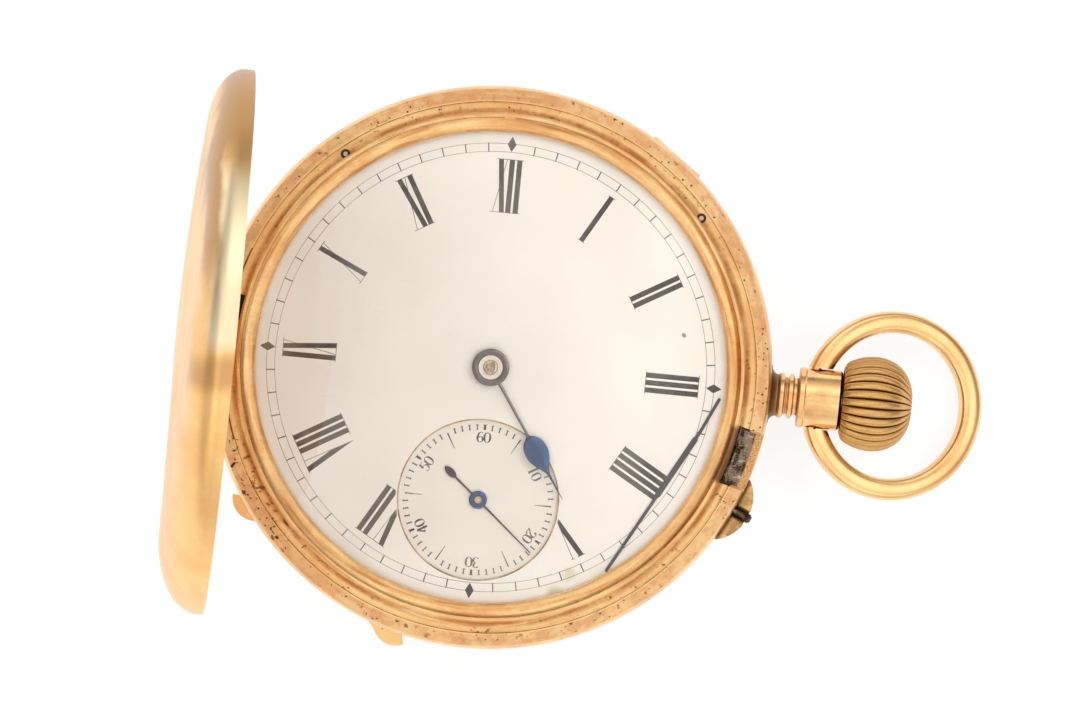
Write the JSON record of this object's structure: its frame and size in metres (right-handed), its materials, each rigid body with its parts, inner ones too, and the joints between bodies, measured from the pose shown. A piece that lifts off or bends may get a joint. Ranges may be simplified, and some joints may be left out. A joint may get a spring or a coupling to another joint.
{
  "type": "pocket watch",
  "caption": "Full hunter pocket watch lying on its back with its domed front cover open, roman dial with sunk seconds, keyless winding movement, pendant, fluted crown and bow.",
  "frame": {"origin": "centre of the worn flat on the back cover that the watch rests on", "axes": "+X to 3 o'clock and the pendant, +Y to 12 o'clock, +Z out of the dial"},
  "size_m": [0.0714, 0.0505, 0.056],
  "materials": {
    "case_metal": "worn",
    "cover_metal": "polished",
    "crown_metal": "tarnished",
    "movement_gilt": "gilt",
    "steel": "worn",
    "blued_steel": "blued",
    "glass": "clear",
    "enamel": "glazed",
    "ruby": "polished"
  },
  "bodies": {
    "case": {"case_middle": "case_metal", "pendant": "case_metal", "bezel": "case_metal", "crystal": "glass", "front_hinge_pin": "steel", "back_hinge_pin": "steel", "dust_hinge_pin": "steel", "spring_screws": "steel", "nail_set_guard": "case_metal", "rim_pins": "steel", "crown_wheel_screw": "steel", "click_spring": "steel", "main_plate": "movement_gilt", "top_plate": "movement_gilt", "plate_screws": "blued_steel", "balance_cock": "movement_gilt", "escapement_cock": "movement_gilt", "cock_screws": "blued_steel", "hairspring": "blued_steel", "plate_jewels": "ruby", "mainspring": "blued_steel", "dial": "enamel", "seconds_dial": "enamel", "minute_hand": "blued_steel"},
    "bow": {"bow": "case_metal"},
    "front_lid": {"front_cover": "cover_metal"},
    "back_lid": {"back_cover": "cover_metal"},
    "dust_lid": {"dust_cover": "cover_metal"},
    "catch": {"lock_spring": "steel"},
    "fly": {"fly_spring": "steel"},
    "nail_set": {"nail_set_pin": "steel"},
    "lever": {"setting_lever": "steel"},
    "yoke": {"clutch_yoke": "steel"},
    "clutch": {"clutch": "steel"},
    "sleeve": {"stem_sleeve": "steel"},
    "crown": {"crown": "crown_metal", "stem": "steel"},
    "winding_pinion": {"winding_pinion": "steel"},
    "crown_wheel": {"crown_wheel": "steel"},
    "ratchet": {"ratchet_wheel": "steel", "barrel_arbor": "steel"},
    "click": {"click": "steel"},
    "barrel": {"barrel": "movement_gilt", "barrel_cover": "movement_gilt"},
    "centre": {"centre_wheel": "movement_gilt", "cannon_pinion": "steel"},
    "third": {"third_wheel": "movement_gilt"},
    "fourth": {"fourth_wheel": "movement_gilt", "seconds_hand": "blued_steel"},
    "escape": {"escape_wheel": "steel"},
    "pallet": {"pallet_fork": "steel"},
    "balance": {"balance_wheel": "movement_gilt"},
    "regulator": {"regulator": "steel"},
    "minute_work": {"minute_wheel": "movement_gilt"},
    "hour_work": {"hour_wheel": "movement_gilt", "hour_hand": "blued_steel"},
    "intermediate": {"intermediate_wheel": "steel"},
    "setting": {"setting_wheel": "steel"}
  },
  "joints": [
    {"name": "front_cover_hinge", "type": "hinge", "parent": "case", "child": "front_lid", "pos_m": [-0.02405, 0, 0.00845], "axis": [0, -1, 0], "range_deg": [-86.5, 0], "stiffness_Nm_per_rad": 0.002, "springref_deg": 57.3},
    {"name": "back_cover_hinge", "type": "hinge", "parent": "case", "child": "back_lid", "pos_m": [0.01443, 0.01986, 0.0031], "axis": [0.809, -0.5878, 0], "range_deg": [0, 95]},
    {"name": "dust_cover_hinge", "type": "hinge", "parent": "case", "child": "dust_lid", "pos_m": [0.01338, 0.01842, 0.00305], "axis": [0.809, -0.5878, 0], "range_deg": [0, 76]},
    {"name": "bow_swing", "type": "hinge", "parent": "case", "child": "bow", "pos_m": [0.0288, 0, 0.0056], "axis": [0, -1, 0], "range_deg": [-83, 117]},
    {"name": "crown_push", "type": "slide", "parent": "case", "child": "sleeve", "axis": [-1, 0, 0], "range_m": [0, 0.0007], "stiffness_N_per_m": 300, "springref_m": -0.0005},
    {"name": "crown_turn", "type": "hinge", "parent": "sleeve", "child": "crown", "pos_m": [0.0288, 0, 0.0056], "axis": [1, 0, 0], "continuous": true},
    {"name": "catch_swing", "type": "hinge", "parent": "case", "child": "catch", "pos_m": [0.0059, 0.02202, 0.0056], "axis": [0, 0, 1], "range_deg": [-0.6, 0]},
    {"name": "fly_swing", "type": "hinge", "parent": "case", "child": "fly", "pos_m": [-0.00552, 0.02212, 0.0056], "axis": [0, 0, 1], "range_deg": [0, 0.6]},
    {"name": "nail_set_push", "type": "slide", "parent": "case", "child": "nail_set", "axis": [-0.9063, 0.4226, 0], "range_m": [0, 0.0008], "stiffness_N_per_m": 200, "springref_m": -0.0005},
    {"name": "lever_swing", "type": "hinge", "parent": "case", "child": "lever", "pos_m": [0.01319, 0.01201, 0.0075], "axis": [0, 0, 1], "range_deg": [-3, 0]},
    {"name": "yoke_slide", "type": "slide", "parent": "case", "child": "yoke", "axis": [-1, 0, 0], "range_m": [0, 0.00048]},
    {"name": "clutch_turn", "type": "hinge", "parent": "yoke", "child": "clutch", "pos_m": [0.0159, 0, 0.0056], "axis": [1, 0, 0], "continuous": true},
    {"name": "winding_pinion_turn", "type": "hinge", "parent": "case", "child": "winding_pinion", "pos_m": [0.0178, 0, 0.0056], "axis": [1, 0, 0], "continuous": true},
    {"name": "crown_wheel_turn", "type": "hinge", "parent": "case", "child": "crown_wheel", "pos_m": [0.0136, 0, 0.0032], "axis": [0, 0, 1], "continuous": true},
    {"name": "ratchet_turn", "type": "hinge", "parent": "case", "child": "ratchet", "pos_m": [0.0058, 0.00688, 0.005], "axis": [0, 0, 1], "continuous": true},
    {"name": "click_lift", "type": "hinge", "parent": "case", "child": "click", "pos_m": [0.01076, 0.01323, 0.0032], "axis": [0, 0, 1], "range_deg": [-8, 0], "stiffness_Nm_per_rad": 0.00001, "springref_deg": 17.19},
    {"name": "seconds_turn", "type": "hinge", "parent": "case", "child": "fourth", "pos_m": [0, -0.01177, 0.005], "axis": [0, 0, -1], "continuous": true},
    {"name": "barrel_turn", "type": "hinge", "parent": "case", "child": "barrel", "pos_m": [0.0058, 0.00688, 0.005], "axis": [0, 0, -1], "continuous": true},
    {"name": "centre_turn", "type": "hinge", "parent": "case", "child": "centre", "pos_m": [0, 0, 0.005], "axis": [0, 0, -1], "continuous": true},
    {"name": "third_turn", "type": "hinge", "parent": "case", "child": "third", "pos_m": [0.00227, -0.00645, 0.005], "axis": [0, 0, -1], "continuous": true},
    {"name": "escape_turn", "type": "hinge", "parent": "case", "child": "escape", "pos_m": [-0.00434, -0.01335, 0.005], "axis": [0, 0, -1], "continuous": true},
    {"name": "pallet_swing", "type": "hinge", "parent": "case", "child": "pallet", "pos_m": [-0.00655, -0.01132, 0.005], "axis": [0, 0, 1], "range_deg": [-5, 5]},
    {"name": "balance_swing", "type": "hinge", "parent": "case", "child": "balance", "pos_m": [-0.01165, -0.00662, 0.005], "axis": [0, 0, 1], "range_deg": [-270, 270], "stiffness_Nm_per_rad": 0.0000003},
    {"name": "regulator_turn", "type": "hinge", "parent": "case", "child": "regulator", "pos_m": [-0.01165, -0.00662, 0.0026], "axis": [0, 0, 1], "range_deg": [-15, 15]},
    {"name": "minute_work_turn", "type": "hinge", "parent": "case", "child": "minute_work", "pos_m": [0.00384, 0, 0.007], "axis": [0, 0, -1], "continuous": true},
    {"name": "hour_turn", "type": "hinge", "parent": "case", "child": "hour_work", "pos_m": [0, 0, 0.0075], "axis": [0, 0, -1], "continuous": true},
    {"name": "intermediate_turn", "type": "hinge", "parent": "case", "child": "intermediate", "pos_m": [0.00896, 0, 0.007], "axis": [0, 0, -1], "continuous": true},
    {"name": "setting_turn", "type": "hinge", "parent": "case", "child": "setting", "pos_m": [0.01312, 0, 0.007], "axis": [0, 0, -1], "continuous": true}
  ],
  "couplings": [
    {"joint": "dust_cover_hinge", "follows": "back_cover_hinge", "ratio": 0.8},
    {"joint": "catch_swing", "follows": "crown_push", "rad_per_m": -11.3},
    {"joint": "fly_swing", "follows": "front_cover_hinge", "ratio": -0.0052},
    {"joint": "lever_swing", "follows": "nail_set_push", "rad_per_m": -61.2},
    {"joint": "yoke_slide", "follows": "nail_set_push", "ratio": 0.58},
    {"joint": "clutch_turn", "follows": "crown_turn", "ratio": 1},
    {"joint": "winding_pinion_turn", "follows": "crown_turn", "ratio": 1},
    {"joint": "crown_wheel_turn", "follows": "crown_turn", "ratio": 0.4},
    {"joint": "ratchet_turn", "follows": "crown_turn", "ratio": -0.25},
    {"joint": "barrel_turn", "follows": "seconds_turn", "ratio": -0.0020833},
    {"joint": "centre_turn", "follows": "seconds_turn", "ratio": 0.016667},
    {"joint": "third_turn", "follows": "seconds_turn", "ratio": -0.13333},
    {"joint": "escape_turn", "follows": "seconds_turn", "ratio": -10},
    {"joint": "minute_work_turn", "follows": "seconds_turn", "ratio": -0.0055556},
    {"joint": "hour_turn", "follows": "seconds_turn", "ratio": 0.0013889},
    {"joint": "intermediate_turn", "follows": "seconds_turn", "ratio": 0.0071429},
    {"joint": "setting_turn", "follows": "seconds_turn", "ratio": -0.0083333}
  ]
}
